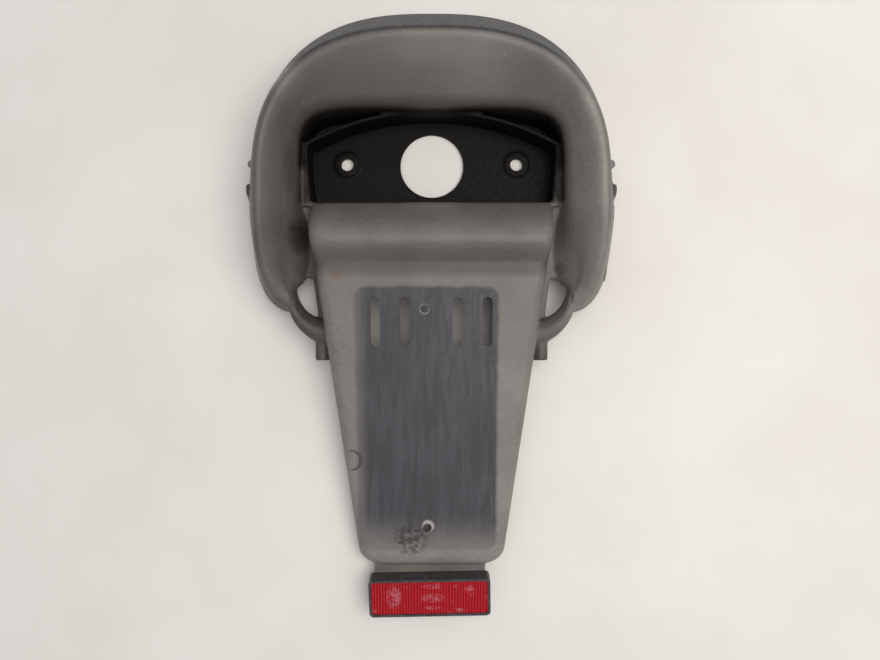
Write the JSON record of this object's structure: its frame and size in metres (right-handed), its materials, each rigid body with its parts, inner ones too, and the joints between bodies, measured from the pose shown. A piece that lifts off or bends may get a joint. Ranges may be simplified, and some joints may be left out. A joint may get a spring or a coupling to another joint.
{
  "type": "motorbike license plate holder",
  "caption": "Moulded rear plate holder for a motorbike, with a hooded lamp seat, a slotted plate panel and a red reflector.",
  "frame": {"origin": "centre of the large lamp bore, on the plane that the part lies on", "axes": "+Z out of the lamp seat towards the viewer of the plate, +Y from the tongue up to the top of the hood, +X to the right"},
  "size_m": [0.2916, 0.4735, 0.0647],
  "materials": {
    "grey_plastic": "moulded polypropylene, faded by the sun, charcoal where it was covered",
    "black_plastic": "moulded, dull",
    "red_lens": "clear red prism lens, worn",
    "zinc_steel": "zinc plated",
    "rusty_steel": "spring steel, rusty"
  },
  "bodies": {
    "root": {"body": "grey_plastic", "reflector_housing": "black_plastic", "reflector_lens": "red_lens", "reflector_stud": "zinc_steel", "reflector_washer": "zinc_steel", "reflector_nut": "zinc_steel", "clip_nut_left": "rusty_steel", "clip_nut_right": "rusty_steel"}
  },
  "joints": []
}
